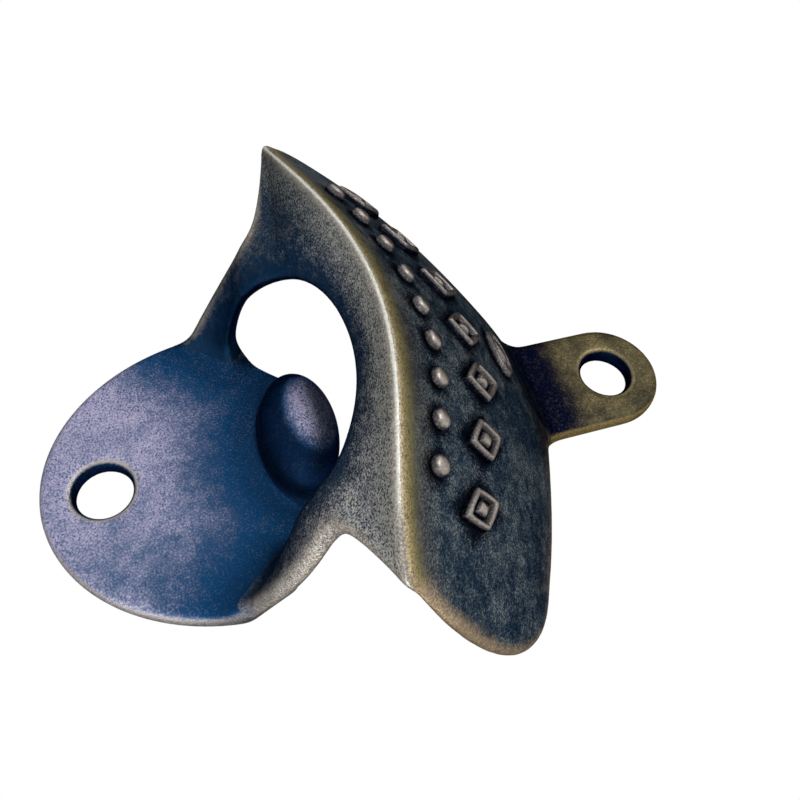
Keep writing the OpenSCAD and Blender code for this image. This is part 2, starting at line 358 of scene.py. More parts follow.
# %% Distances from the mouth, the ornament and the screw holes
MOUTH_RIM = np.array([(0, -22.6, -4.2), (12.2, -22.6, -4.2), (15.4, -19.5, -14), (15, -2.7, -14.6)]) * MM
ORNAMENT = ("lozenge_row", "stud_row", "oval_boss")
HOLES = ((0, -32.75), (0, 32.75))
HOLE_WALL = 3.75


def bezier(ends, count):
    t = np.linspace(0, 1, count)[:, None]
    return (ends[0] * (1 - t) ** 3 + 3 * ends[1] * t * (1 - t) ** 2
            + 3 * ends[2] * t * t * (1 - t) + ends[3] * t ** 3)


def to_rim(spots):
    nearest = np.full(len(spots), 1.0)
    for spot in mouth_rim:
        np.minimum(nearest, np.linalg.norm(spots - spot, axis=1), out=nearest)
    return nearest


def from_hole(spots):
    return np.minimum.reduce([np.hypot(spots[:, 0] / MM - x, spots[:, 2] / MM - z) for x, z in HOLES])


half_rim = bezier(MOUTH_RIM, 60)
mouth_rim = np.vstack([half_rim, half_rim * [-1, 1, 1]])
ornament_near = np.minimum.reduce([node_distances(name) for name in ORNAMENT])
print("mouth reaches from", (mouth_rim.min(axis=0) / MM).round(1), "to", (mouth_rim.max(axis=0) / MM).round(1), "mm")

# %% Distance from the neighbours
NEIGHBOURS = {"wall_plate": ("fulcrum_knob", "left_arm", "right_arm"), "left_arm": ("wall_plate",),
              "right_arm": ("wall_plate",), "hood": ("top_ear",), "top_ear": ("hood",)}
NOT_CLOSE = 99.0


def to_neighbours(name, spots):
    if name not in NEIGHBOURS:
        return np.full(len(spots), NOT_CLOSE * MM)
    others = np.vstack([coordinates(pieces[other].data)[::5] for other in NEIGHBOURS[name]])
    tree = kdtree.KDTree(len(others))
    for index, other in enumerate(others):
        tree.insert(other, index)
    tree.balance()
    return np.array([tree.find(spot)[2] for spot in spots])


gaps = {name: to_neighbours(name, coordinates(piece.data)) / MM for name, piece in pieces.items()}
print("largest gap to a neighbour, mm", {name: round(float(gap.max()), 1) for name, gap in gaps.items()})

# %% [markdown]
# ## Painted light and shade on the patina
# A chemical patina is never even, and here light and shade are painted into it as well: the plate is painted pale at
# its lower left, where the light falls, and dark blue round the knob, where shade falls; the lip and arms are painted
# darker on the left than on the right, as if lit from the right; the knob gets a painted highlight on its crown, partly
# polish where caps touch it, and painted shade on its sides. A painter would brush this on. The place of a point
# decides
# it: one mask says how pale the patina and its painted light are, one how black the painted shade is, and one how
# bright the painted highlight on the ridge stays.

# %% Tone with painted light, painted shade and gleam
# Painted highlight and shade on the knob: its crown is painted lit, partly as polish where caps touch it, and its sides
# are painted dark.
DULL_AND_SHADED, POLISHED_AND_LIT = 3.0, 15.0
KNOB_LIT_AND_TOUCHED = np.array([-0.5, -KNOB_TOP, KNOB_Z + KNOB_LEAN * (KNOB_TOP - PLATE_FACE) + 1.0])
LIT_AND_TOUCH_SPREAD = [1.7, 1.4, 1]


def knob_lit_crown(spots):
    away = np.linalg.norm((spots / MM - KNOB_LIT_AND_TOUCHED) / LIT_AND_TOUCH_SPREAD, axis=1)
    return DULL_AND_SHADED + (POLISHED_AND_LIT - DULL_AND_SHADED) * ramp(away, 4.2, 0.8)


def tone_and_light_of(name, spots, ridge):
    x, z = spots[:, 0] / MM, spots[:, 2] / MM
    if name == "hood":
        return 0.08 + 0.16 * (1 - ramp(ridge, 0.5, 3.6))
    if name in ("cap_lip", "left_arm", "right_arm"):
        # Painted light: the lip and arms are painted darker on the left and paler on the right, as if lit from the
        # right.
        return -0.1 + 0.92 * ramp(x, -19, 8) + 0.28 * ramp(x, 12, 20)
    if name == "fulcrum_knob":
        # Painted highlight: the knob is paler towards its lit crown.
        return 0.4 + 0.05 * (knob_lit_crown(spots) - DULL_AND_SHADED)
    if name == "wall_plate":
        # Painted light: the plate is painted paler at its lower left, where a lamp's reflection falls, and darker to
        # the right.
        return 0.39 + 0.5 * ramp(z, -18, -36) - 0.48 * ramp(x, -2, 15)
    return np.full(len(spots), 0.5)


# Painted shade: the knob's sides and the plate next to the knob and arms are painted near black.
def painted_shade_of(name, spots, gap):
    if name == "fulcrum_knob":
        return 1 - ramp(knob_lit_crown(spots), DULL_AND_SHADED, 7.0)
    if name == "wall_plate":
        return 0.55 * ramp(gap, 4.5, 0.3)
    return np.zeros(len(spots))


# The painted highlight on the ridge fades out towards the right tip.
def gleam_of(spots):
    return 1 - 0.85 * ramp(spots[:, 0] / MM, 20.5, 23.5)


# The printed point is the middle of the knob's painted highlight.
print("most polished point of the knob, mm", KNOB_LIT_AND_TOUCHED.round(2))

# %% Write the masks


def write_mask(mesh, label, values):
    mask = mesh.attributes.get(label) or mesh.attributes.new(label, "FLOAT", "POINT")
    mask.data.foreach_set("value", np.ascontiguousarray(values, np.float32))


for name, piece in pieces.items():
    mesh = piece.data
    spots = coordinates(mesh)
    gap = gaps[name]
    flat = name in ("wall_plate", "top_ear")
    radius = from_hole(spots)
    bored = flat & (radius < HOLE_WALL)
    hole_edge = flat * 0.2 * ramp(np.abs(radius - HOLE_WALL - 0.1), 0.5, 0.1)
    # Painted shade on the walls of the screw holes.
    hole_shade = flat * ramp(radius, HOLE_WALL, HOLE_WALL - 0.3)
    hollow = -sample(large_mean, spots) / MM
    to_lip, to_hood = sample(near["cap_lip"], spots) / MM, sample(near["hood"], spots) / MM
    ridge = to_lip - to_hood if name in ("hood", "cap_lip") else -to_hood
    sideways = 1 - ramp(np.abs(slope(cast, spots)[:, 1]), 0.55, 0.85)
    # The close mask drives painted shade next to neighbouring regions; on the knob it holds the painted highlight of
    # its crown.
    write_mask(mesh, "close", knob_lit_crown(spots) if name == "fulcrum_knob" else gap)
    write_mask(mesh, "edge", np.maximum(sample(small_mean, spots) / MM, hole_edge))
    # Painted shade: the walls of the screw holes count as fully hollow, so they get the deep colour.
    write_mask(mesh, "hollow", np.where(bored, 1.0, hollow))
    write_mask(mesh, "painted_shade", np.maximum(painted_shade_of(name, spots, gap), hole_shade))
    write_mask(mesh, "ridge", ridge)
    write_mask(mesh, "tone_and_light", tone_and_light_of(name, spots, ridge))
    write_mask(mesh, "flank", sideways * ramp(hollow, -0.3, -0.7) * (flat and ~bored))
    write_mask(mesh, "rim", to_rim(spots) / MM)
    write_mask(mesh, "gleam", gleam_of(spots))
    write_mask(mesh, "beside", sample(ornament_near, spots) / MM)
    print("masks on", piece.name, [mask.name for mask in mesh.attributes if mask.data_type == "FLOAT"])

# %% [markdown]
# ## Smooth facing
# The pieces are cut, but the casting's skin runs on across each cut. Blender's own smooth shading would show every
# seam, because it knows one piece at a time. Each corner on the skin therefore faces along the slope of the shared
# field, and a corner on a cut face keeps the direction of that face.

# %% Facing of each corner
SKIN_DEPTH = 0.15 * MM
for piece in pieces.values():
    mesh = piece.data
    count = len(mesh.polygons)
    middle, facing = np.empty(3 * count, np.float32), np.empty(3 * count, np.float32)
    mesh.polygons.foreach_get("center", middle)
    mesh.polygons.foreach_get("normal", facing)
    middle, facing = middle.reshape(-1, 3), facing.reshape(-1, 3)
    outside = ((np.abs(sample(cast, middle)) < SKIN_DEPTH)
               & (np.sum(slope(cast, middle) * facing, axis=1) > 0.6))
    sizes = np.empty(count, np.int32)
    mesh.polygons.foreach_get("loop_total", sizes)
    corner_face = np.repeat(np.arange(count), sizes)
    corner_point = np.empty(len(mesh.loops), np.int32)
    mesh.loops.foreach_get("vertex_index", corner_point)
    smooth = slope(cast, coordinates(mesh))[corner_point]
    smooth = np.where(outside[corner_face, None], smooth, facing[corner_face])
    mesh.polygons.foreach_set("use_smooth", np.ones(count, bool))
    mesh.normals_split_custom_set(smooth.tolist())
    print(piece.name, int(outside.sum()), "faces on the skin,", int(count - outside.sum()), "on cuts")

# %% [markdown]
# ## Raised ornament
# The hood carries a row of lozenges, a row of small studs and an oval boss. In the frame each is a plain pad. Here each
# pad becomes a chased form: an outline is lofted through rings of a profile, as on a turned or engraved punch, and each
# ring is dropped onto the hood first, so the foot follows the curved metal.

# %% Find each pad of a row


def pads(name):
    mesh = nodes[name].data
    spots = np.array([v.co for v in mesh.vertices])
    keys = {}
    merged = [keys.setdefault(tuple(np.round(spot / MM, 3)), len(keys)) for spot in spots]
    group = list(range(len(keys)))

    def root(i):
        while group[i] != i:
            group[i] = group[group[i]]
            i = group[i]
        return i

    for edge in mesh.edges:
        group[root(merged[edge.vertices[0]])] = root(merged[edge.vertices[1]])
    owner = np.array([root(m) for m in merged])
    return [spots[owner == i] for i in sorted(set(owner), key=lambda i: spots[owner == i][:, 0].mean())]


print("pads", {name: len(pads(name)) for name in ORNAMENT})

# %% Loft a row


def drop(spots, lift):
    for _ in range(4):
        spots = spots - lift * sample(cast, spots)[:, None]
    return spots


def outline(power, count):
    turn = np.linspace(0, 2 * math.pi, count, endpoint=False)
    return np.stack([np.sign(np.cos(turn)) * np.abs(np.cos(turn)) ** (2 / power),
                     np.sign(np.sin(turn)) * np.abs(np.sin(turn)) ** (2 / power)], axis=1)


def chased_row(name, label, power, count, profile):
    spots, faces, heights = [], [], []
    for pad in pads(name):
        middle = drop(pad.mean(axis=0)[None], slope(cast, pad.mean(axis=0)[None]))[0]
        lift = slope(cast, middle[None])[0]
        rise = np.array([0, 0, 1.0]) - lift[2] * lift
        rise /= np.linalg.norm(rise)
        side = np.cross(rise, lift)
        half = np.abs((pad - middle) @ side).max()
        tall = np.abs((pad - middle) @ rise).max()
        start = len(spots)
        for scale, height in profile:
            ring = middle + (outline(power, count) * scale) @ np.stack([side * half, rise * tall])
            ring = drop(ring, lift) + lift * height * MM
            spots.extend(ring.tolist())
            heights.extend([height] * count)
        rings = len(profile)
        for r in range(rings - 1):
            for i in range(count):
                a, b = start + r * count + i, start + r * count + (i + 1) % count
                faces.append((a, b, b + count, a + count))
        faces.append(tuple(start + i for i in reversed(range(count))))
        faces.append(tuple(start + (rings - 1) * count + i for i in range(count)))
    mesh = bpy.data.meshes.new(label)
    mesh.from_pydata(spots, [], faces)
    mesh.polygons.foreach_set("use_smooth", np.ones(len(faces), bool))
    heights = np.array(heights)
    masks = {"edge": (heights - 0.45) * 0.5, "hollow": np.where(heights < 0.4, 0.6, 0.0), "close": NOT_CLOSE,
             "tone_and_light": 0.5, "flank": 0.0, "painted_shade": 0.0, "ridge": 4.0, "rim": 20.0, "beside": np.clip(heights, 0, 1)}
    for mask, values in masks.items():
        write_mask(mesh, mask, np.broadcast_to(values, heights.shape))
    row = bpy.data.objects.new(label, mesh)
    scene.collection.objects.link(row)
    pieces[name] = row
    print(label, len(faces), "faces")

# %% Lozenges, studs and boss
FRAMED = [(1, -0.3), (1, 0), (0.97, 0.35), (0.92, 0.64), (0.86, 0.8), (0.78, 0.86), (0.7, 0.84), (0.64, 0.7),
          (0.59, 0.45), (0.55, 0.28), (0.5, 0.22), (0.44, 0.25), (0.4, 0.36), (0.34, 0.6), (0.26, 0.8), (0.16, 0.9),
          (0.06, 0.94)]
DOMED = [(1, -0.3), (1, 0.1), (0.97, 0.4), (0.88, 0.7), (0.72, 0.9), (0.5, 1.0), (0.25, 1.04), (0.08, 1.05)]
RIMMED = [(1, -0.3), (1, 0.1), (0.97, 0.45), (0.91, 0.7), (0.83, 0.78), (0.76, 0.72), (0.71, 0.5), (0.67, 0.42),
          (0.61, 0.5), (0.5, 0.7), (0.35, 0.88), (0.18, 0.96), (0.06, 0.98)]
chased_row("lozenge_row", "lozenges", 1.15, 48, FRAMED)
chased_row("stud_row", "studs", 2.0, 24, DOMED)
chased_row("oval_boss", "boss", 2.0, 48, RIMMED)
print("pieces", len(pieces))

# %% [markdown]
# ## Studio
# The photo shows the opener in front of plain white, in soft light. A metal shows what stands round it, so the white
# of the room is given to the camera and to reflections alike, while less light falls on the part itself. The floor lies
# well below the part, because the opener hangs on a wall.

# %% Room


def wired(tree, kind, **values):
    node = tree.nodes.new(kind)
    for key, value in values.items():
        if key in node.inputs:
            node.inputs[key].default_value = value
        else:
            setattr(node, key, value)
    return node


def seen_white(tree):
    path = wired(tree, "ShaderNodeLightPath")
    first = wired(tree, "ShaderNodeMath", operation="MAXIMUM")
    second = wired(tree, "ShaderNodeMath", operation="MAXIMUM")
    tree.links.new(path.outputs["Is Camera Ray"], first.inputs[0])
    tree.links.new(path.outputs["Is Glossy Ray"], first.inputs[1])
    tree.links.new(first.outputs[0], second.inputs[0])
    tree.links.new(path.outputs["Is Transmission Ray"], second.inputs[1])
    return second.outputs[0]


room = bpy.data.worlds.new("white_room")
room.use_nodes = True
scene.world = room
tree = room.node_tree
tree.nodes.clear()
fill = wired(tree, "ShaderNodeBackground", Color=(0.86, 0.9, 1.0, 1), Strength=0.55)
white = wired(tree, "ShaderNodeBackground", Color=(1, 1, 1, 1), Strength=1.0)
mixed = wired(tree, "ShaderNodeMixShader")
out = wired(tree, "ShaderNodeOutputWorld")
tree.links.new(seen_white(tree), mixed.inputs[0])
tree.links.new(fill.outputs[0], mixed.inputs[1])
tree.links.new(white.outputs[0], mixed.inputs[2])
tree.links.new(mixed.outputs[0], out.inputs[0])
print("room", room.name, len(tree.nodes), "nodes")

# %% Floor
FLOOR_DROP, FLOOR_SIDE = -0.35, 12
bpy.ops.mesh.primitive_grid_add(x_subdivisions=8, y_subdivisions=8, size=FLOOR_SIDE, location=(0, 0, FLOOR_DROP))
floor = bpy.context.object
floor.name = "studio_floor"
paper = bpy.data.materials.new("white_paper")
paper.use_nodes = True
tree = paper.node_tree
tree.nodes.clear()
matt = wired(tree, "ShaderNodeBsdfDiffuse", Color=(0.8, 0.8, 0.8, 1))
glow = wired(tree, "ShaderNodeEmission", Color=(1, 1, 1, 1), Strength=1.0)
mixed = wired(tree, "ShaderNodeMixShader")
out = wired(tree, "ShaderNodeOutputMaterial")
tree.links.new(seen_white(tree), mixed.inputs[0])
tree.links.new(matt.outputs[0], mixed.inputs[1])
tree.links.new(glow.outputs[0], mixed.inputs[2])
tree.links.new(mixed.outputs[0], out.inputs[0])
floor.data.materials.append(paper)
print("floor", FLOOR_SIDE, "m wide at", FLOOR_DROP, "m")

# %% [markdown]
# ## Lamps and dark cards
# A large soft lamp below the lip shapes the edges, and a smaller one in front lifts the hood. With white on all sides a
# metal goes pale where it is seen at a low angle, so photographers put dark cards behind it, out of the picture. Two
# such cards stand behind the part: the camera doesn't see them, but the metal does.

# %% Lamps
TARGET = Vector((0, -0.012, -0.004))


def aimed(made, aim_from):
    made.location = TARGET + aim_from
    made.rotation_euler = (-aim_from).to_track_quat("-Z", "Y").to_euler()


def softbox(label, aim_from, size, watts, tint):
    lamp = bpy.data.lights.new(label, "AREA")
    lamp.shape = "RECTANGLE"
    lamp.size, lamp.size_y = size
    lamp.energy = watts
    lamp.color = tint
    made = bpy.data.objects.new(label, lamp)
    aimed(made, aim_from)
    scene.collection.objects.link(made)
    print(label, watts, "W, at", [round(v, 3) for v in made.location])


softbox("key_softbox", -LOOK * 0.2 - IMAGE_RIGHT * 0.1 - IMAGE_UP * 0.26, (0.18, 0.24), 0.7, (1, 0.98, 0.95))
softbox("front_softbox", Vector((0, -0.31, 0.18)), (0.14, 0.14), 0.35, (0.97, 0.98, 1))

# %% Dark cards
felt = bpy.data.materials.new("black_felt")
felt.use_nodes = True
felt.node_tree.nodes["Principled BSDF"].inputs["Base Color"].default_value = (0.012, 0.012, 0.014, 1)
felt.node_tree.nodes["Principled BSDF"].inputs["Roughness"].default_value = 0.9


def dark_card(label, aim_from, size):
    bpy.ops.mesh.primitive_grid_add(x_subdivisions=2, y_subdivisions=2, size=1)
    card = bpy.context.object
    card.name = label
    card.scale = (size[0], size[1], 1)
    aimed(card, aim_from)
    card.visible_camera = False
    card.visible_shadow = False
    card.data.materials.append(felt)
    print(label, size, "m")


dark_card("upper_card", Vector((-0.2, 0.13, 0.3)), (0.45, 0.4))
dark_card("side_card", Vector((-0.3, 0.16, -0.16)), (0.35, 0.35))

# %% [markdown]
# ## Effects that the finishes share
# All four finishes are the same cast metal under a chemical patina, so they share three effects: the sand grain of the
# mould, the wear by hands and cloth, and the drift of the patina's colour. Each is built once as a node group and then
# placed in a finish with that finish's own values. Lengths are in millimetres of the object.

# %% Small helpers for node trees


def feed(tree, socket, value):
    if isinstance(value, bpy.types.NodeSocket):
        tree.links.new(value, socket)
    else:
        socket.default_value = value


def sums(tree, operation, a, b, clamp=False):
    node = tree.nodes.new("ShaderNodeMath")
    node.operation = operation
    node.use_clamp = clamp
    feed(tree, node.inputs[0], a)
    feed(tree, node.inputs[1], b)
    return node.outputs[0]


def stepped(tree, value, start, end):
    node = tree.nodes.new("ShaderNodeMapRange")
    node.interpolation_type = "SMOOTHSTEP"
    feed(tree, node.inputs["Value"], value)
    feed(tree, node.inputs["From Min"], start)
    feed(tree, node.inputs["From Max"], end)
    return node.outputs["Result"]


def blend(tree, share, under, over, kind="MIX"):
    node = tree.nodes.new("ShaderNodeMix")
    node.data_type = "RGBA"
    node.blend_type = kind
    feed(tree, node.inputs[0], share)
    feed(tree, node.inputs[6], under)
    feed(tree, node.inputs[7], over)
    return node.outputs[2]


def mask_of(tree, label):
    node = tree.nodes.new("ShaderNodeAttribute")
    node.attribute_name = label
    return node.outputs["Fac"]


def millimetres(tree):
    place = tree.nodes.new("ShaderNodeTexCoord")
    scale = tree.nodes.new("ShaderNodeVectorMath")
    scale.operation = "SCALE"
    scale.inputs["Scale"].default_value = 1 / MM
    tree.links.new(place.outputs["Object"], scale.inputs[0])
    return scale.outputs[0]


def noise(tree, place, scale, detail=4.0, rough=0.6):
    node = tree.nodes.new("ShaderNodeTexNoise")
    tree.links.new(place, node.inputs["Vector"])
    feed(tree, node.inputs["Scale"], scale)
    node.inputs["Detail"].default_value = detail
    node.inputs["Roughness"].default_value = rough
    return node.outputs["Fac"]


print("noise is measured in millimetres: one object unit is", round(1 / MM), "of them")

# %% Make a shared effect, and place it
FLOAT, COLOUR = "NodeSocketFloat", "NodeSocketColor"


def effect(name, takes, gives):
    group = bpy.data.node_groups.new(name, "ShaderNodeTree")
    for label, value in takes.items():
        kind = COLOUR if isinstance(value, tuple) else FLOAT
        group.interface.new_socket(label, in_out="INPUT", socket_type=kind).default_value = value
    for label, kind in gives.items():
        group.interface.new_socket(label, in_out="OUTPUT", socket_type=kind)
    return group, group.nodes.new("NodeGroupInput").outputs, group.nodes.new("NodeGroupOutput").inputs


def place_effect(tree, group, **values):
    node = tree.nodes.new("ShaderNodeGroup")
    node.node_tree = group
    for label, value in values.items():
        feed(tree, node.inputs[label], value)
    return node.outputs


print("socket kinds", FLOAT, COLOUR)

# %% [markdown]
# ## Sand grain
# Sand leaves a fine pitted skin on the metal. Two noises of different size are summed, because one alone looks printed.
# The sum gives specks for the colour, and the fine noise with a coarse one gives the height for the bump.

# %% Sand grain of the mould
sand_grain, takes, gives = effect("sand_grain", {"Grain": 3.2, "Cloud": 0.5, "Spread": 0.2},
                                  {"Height": FLOAT, "Speckle": FLOAT, "Cloud": FLOAT, "Drift": FLOAT})
spot = millimetres(sand_grain)
fine = noise(sand_grain, spot, takes["Grain"], 2.0, 0.6)
clump = noise(sand_grain, spot, sums(sand_grain, "MULTIPLY", takes["Grain"], 0.3), 4.0, 0.7)
mottle = sums(sand_grain, "ADD", sums(sand_grain, "MULTIPLY", fine, 0.75), sums(sand_grain, "MULTIPLY", clump, 0.25))
lowest = sums(sand_grain, "SUBTRACT", 0.5, takes["Spread"])
highest = sums(sand_grain, "ADD", 0.5, takes["Spread"])
cloud = noise(sand_grain, spot, takes["Cloud"], 4.0, 0.65)
drift = noise(sand_grain, spot, 0.12, 3.0, 0.55)
coarse = noise(sand_grain, spot, 0.9, 3.0, 0.5)
feed(sand_grain, gives["Speckle"], stepped(sand_grain, mottle, lowest, highest))
feed(sand_grain, gives["Cloud"], stepped(sand_grain, cloud, 0.3, 0.7))
feed(sand_grain, gives["Drift"], stepped(sand_grain, drift, 0.3, 0.7))
feed(sand_grain, gives["Height"], sums(sand_grain, "ADD", fine, sums(sand_grain, "MULTIPLY", coarse, 0.6)))
print("sand_grain", len(sand_grain.nodes), "nodes")

# %% [markdown]
# ## Wear
# Edges are rubbed first, and never evenly. The edge mask is broken up by a noise before it is read, so the bright rims
# fray. The same group says where wax stays, from the hollow mask.

# %% Wear by hands and cloth
hand_wear, takes, gives = effect("hand_wear", {"Start": 0.1, "End": 0.3, "Patchy": 0.12, "Shallow": 0.0, "Deep": 0.5},
                                 {"Rubbed": FLOAT, "Sunk": FLOAT})
spot = millimetres(hand_wear)
patches = sums(hand_wear, "SUBTRACT", noise(hand_wear, spot, 1.2, 5.0, 0.7), 0.5)
worn = sums(hand_wear, "ADD", mask_of(hand_wear, "edge"), sums(hand_wear, "MULTIPLY", patches, takes["Patchy"]))
feed(hand_wear, gives["Rubbed"], stepped(hand_wear, worn, takes["Start"], takes["End"]))
feed(hand_wear, gives["Sunk"], stepped(hand_wear, mask_of(hand_wear, "hollow"), takes["Shallow"], takes["Deep"]))
print("hand_wear", len(hand_wear.nodes), "nodes")

# %% [markdown]
# ## Patina
# The patina is a blend of a dark and a pale colour by tone, which also carries painted light and shade, and drifts
# and clouds a little. Pale specks sit on it where the grain stands up, and dark ones where it is shut. Both are weaker
# on the darkest metal, and the pale ones in hollows.

# %% Colours of the patina
patina, takes, gives = effect(
    "patina", {"Tone": 0.5, "Drift": 0.5, "Cloud": 0.5, "Speckle": 0.5, "Sunk": 0.0, "Strength": 0.5, "Glint": 0.2,
               "Uneven": 0.4, "Face": (0.2, 0.2, 0.2, 1), "Shade": (0.1, 0.1, 0.1, 1),
               "Deep": (0.01, 0.02, 0.05, 1), "Pale": (0.5, 0.5, 0.5, 1)},
    {"Colour": COLOUR})


def around_middle(value):
    return sums(patina, "MULTIPLY", sums(patina, "SUBTRACT", value, 0.5), takes["Uneven"])


patch = sums(patina, "ADD", around_middle(takes["Drift"]), around_middle(takes["Cloud"]))
patch = sums(patina, "ADD", patch, takes["Tone"], clamp=True)
ground = blend(patina, patch, takes["Shade"], takes["Face"])
ground = blend(patina, takes["Sunk"], ground, takes["Deep"])
dim = sums(patina, "SUBTRACT", 1.0, sums(patina, "MULTIPLY", takes["Sunk"], 0.82))
glint = sums(patina, "ADD", sums(patina, "MULTIPLY", patch, 0.8), takes["Glint"])
dim = sums(patina, "MULTIPLY", dim, glint, clamp=True)
lit = sums(patina, "MULTIPLY", stepped(patina, takes["Speckle"], 0.5, 1.0), takes["Strength"])
ground = blend(patina, sums(patina, "MULTIPLY", lit, dim), ground, takes["Pale"])
shut_share = sums(patina, "ADD", sums(patina, "MULTIPLY", patch, 0.6), 0.4)
shut = sums(patina, "MULTIPLY", takes["Strength"], shut_share)
shut = sums(patina, "MULTIPLY", stepped(patina, takes["Speckle"], 0.5, 0.0), shut)
feed(patina, gives["Colour"], blend(patina, shut, ground, blend(patina, 0.9, ground, takes["Deep"])))
print("patina", len(patina.nodes), "nodes")

# %% [markdown]
# ## The four finishes
# A finish is the shared effects with its own colours, its own bands where the photo shows them, and one metal shader.
# Edges are brighter and smoother because they are rubbed, hollows are darker and duller because wax stays in them, and
# metal next to other regions, the knob's sides and the screw holes get painted shade.

# %% A finish from the shared effects
PAINTED_SHADE_BLACK = (0.002, 0.007, 0.024, 1)
EDGE_TINT = (0.15, 0.16, 0.2, 1)
BUMP_HEIGHT = 0.1 * MM


def band(tree, value, outer_start, inner_start, inner_end, outer_end):
    return sums(tree, "MULTIPLY", stepped(tree, value, outer_start, inner_start),
                stepped(tree, value, outer_end, inner_end))


# The silver line on the ridge is partly a worn edge and partly a painted highlight.
def silver_wear_and_highlight(tree):
    line = band(tree, mask_of(tree, "ridge"), -0.55, -0.15, 0.1, 0.32)
    return sums(tree, "MULTIPLY", line, mask_of(tree, "gleam"))


# Besides wax in hollows, this paints shade near a neighbouring region: the plate round the knob and arms, the knob's
# sides and the foot of the ear get the deep colour.
def sunk_and_shaded(tree, colours, grains, rubs):
    if "close" not in colours:
        return rubs["Sunk"]
    start, end = colours["close"]
    wander = sums(tree, "MULTIPLY", sums(tree, "SUBTRACT", grains["Cloud"], 0.5), 1.2)
    beside = stepped(tree, sums(tree, "ADD", mask_of(tree, "close"), wander), end, start)
    return sums(tree, "MAXIMUM", rubs["Sunk"], beside)


def rubbed_over(tree, colour, colours, grains, rubs):
    worn = blend(tree, sums(tree, "MULTIPLY", grains["Speckle"], 0.5), colours["rubbed"], colours["bright"])
    touch = sums(tree, "MULTIPLY", rubs["Rubbed"], stepped(tree, mask_of(tree, "rim"), 1.2, 3.2))
    if "earthy" in colours:
        earthy = blend(tree, 1.0, worn, colours["earthy"], "MULTIPLY")
        worn = blend(tree, stepped(tree, mask_of(tree, "ridge"), 0.2, 0.6), worn, earthy)
        touch = sums(tree, "MULTIPLY", touch, sums(tree, "SUBTRACT", 1.0, silver_wear_and_highlight(tree)))
    return blend(tree, sums(tree, "MULTIPLY", touch, colours["wear"]), colour, worn)


def finish(name, colours, grain, specks, wear, rough, bump, bands):
    material = bpy.data.materials.new(name)
    material.use_nodes = True
    tree = material.node_tree
    tree.nodes.clear()
    metal = tree.nodes.new("ShaderNodeBsdfPrincipled")
    out = tree.nodes.new("ShaderNodeOutputMaterial")
    tree.links.new(metal.outputs[0], out.inputs[0])
    grains = place_effect(tree, sand_grain, **grain)
    rubs = place_effect(tree, hand_wear, **wear)
    ground = place_effect(tree, patina, Drift=grains["Drift"], Cloud=grains["Cloud"], Speckle=grains["Speckle"],
                          Sunk=sunk_and_shaded(tree, colours, grains, rubs), Tone=mask_of(tree, "tone_and_light"), Face=colours["face"],
                          Shade=colours["shade"], Deep=colours["deep"], Pale=colours["pale"], **specks)
    colour = bands(tree, ground["Colour"], grains)
    flank = sums(tree, "ADD", sums(tree, "MULTIPLY", grains["Speckle"], 0.5), 0.35)
    colour = blend(tree, sums(tree, "MULTIPLY", mask_of(tree, "flank"), flank), colour, colours["flank"])
    # Painted shade: near black where the shade mask says so.
    colour = blend(tree, sums(tree, "MULTIPLY", mask_of(tree, "painted_shade"), 0.85), colour, PAINTED_SHADE_BLACK)
    tree.links.new(rubbed_over(tree, colour, colours, grains, rubs), metal.inputs["Base Color"])
    metal.inputs["Metallic"].default_value = 1.0
    metal.inputs["Specular Tint"].default_value = EDGE_TINT
    dull = sums(tree, "ADD", sums(tree, "MULTIPLY", grains["Cloud"], 0.1), rough)
    dull = sums(tree, "SUBTRACT", dull, sums(tree, "MULTIPLY", rubs["Rubbed"], 0.14))
    tree.links.new(dull, metal.inputs["Roughness"])
    relief = wired(tree, "ShaderNodeBump", Strength=bump, Distance=BUMP_HEIGHT)
    tree.links.new(grains["Height"], relief.inputs["Height"])
    tree.links.new(relief.outputs[0], metal.inputs["Normal"])
    print("finish", name, len(tree.nodes), "nodes")
    return material


def plain(tree, colour, grains):
    return colour


print("metal seen at a low angle is tinted", EDGE_TINT[:3])

# %% [markdown]
# ## Slate, olive and rubbed bronze
# The plate and the knob are slate blue with a lilac bloom, the ear is olive brown, and the ornament is rubbed pale on
# its tops. They differ only in their values, so each is one call.

# %% Slate, olive and rubbed bronze
slate = finish("slate_patina",
               {"face": (0.38, 0.36, 0.53, 1), "shade": (0.088, 0.138, 0.25, 1), "deep": (0.005, 0.05, 0.14, 1),
                "pale": (0.5, 0.48, 0.6, 1), "rubbed": (0.34, 0.3, 0.26, 1), "bright": (0.6, 0.55, 0.49, 1),
                "wear": 0.75, "flank": (0.36, 0.31, 0.25, 1), "close": (3.0, 14.0)},
               grain={"Grain": 4.4, "Cloud": 0.6, "Spread": 0.19},
               specks={"Strength": 1.0, "Uneven": 0.5, "Glint": 0.36},
               wear={"Start": 0.1, "End": 0.21, "Patchy": 0.1, "Shallow": -0.35, "Deep": 0.4},
               rough=0.44, bump=0.9, bands=plain)
olive = finish("olive_bronze",
               {"face": (0.13, 0.105, 0.05, 1), "shade": (0.04, 0.036, 0.022, 1), "deep": (0.002, 0.003, 0.012, 1),
                "pale": (0.28, 0.23, 0.13, 1), "rubbed": (0.2, 0.155, 0.075, 1), "bright": (0.4, 0.34, 0.22, 1),
                "wear": 0.8, "flank": (0.3, 0.225, 0.1, 1), "close": (3.0, 9.0)},
               grain={"Grain": 3.8, "Cloud": 0.35, "Spread": 0.2},
               specks={"Strength": 0.45, "Uneven": 0.8, "Glint": 0.3},
               wear={"Start": 0.1, "End": 0.24, "Patchy": 0.12, "Shallow": -0.5, "Deep": 0.3},
               rough=0.44, bump=0.45, bands=plain)
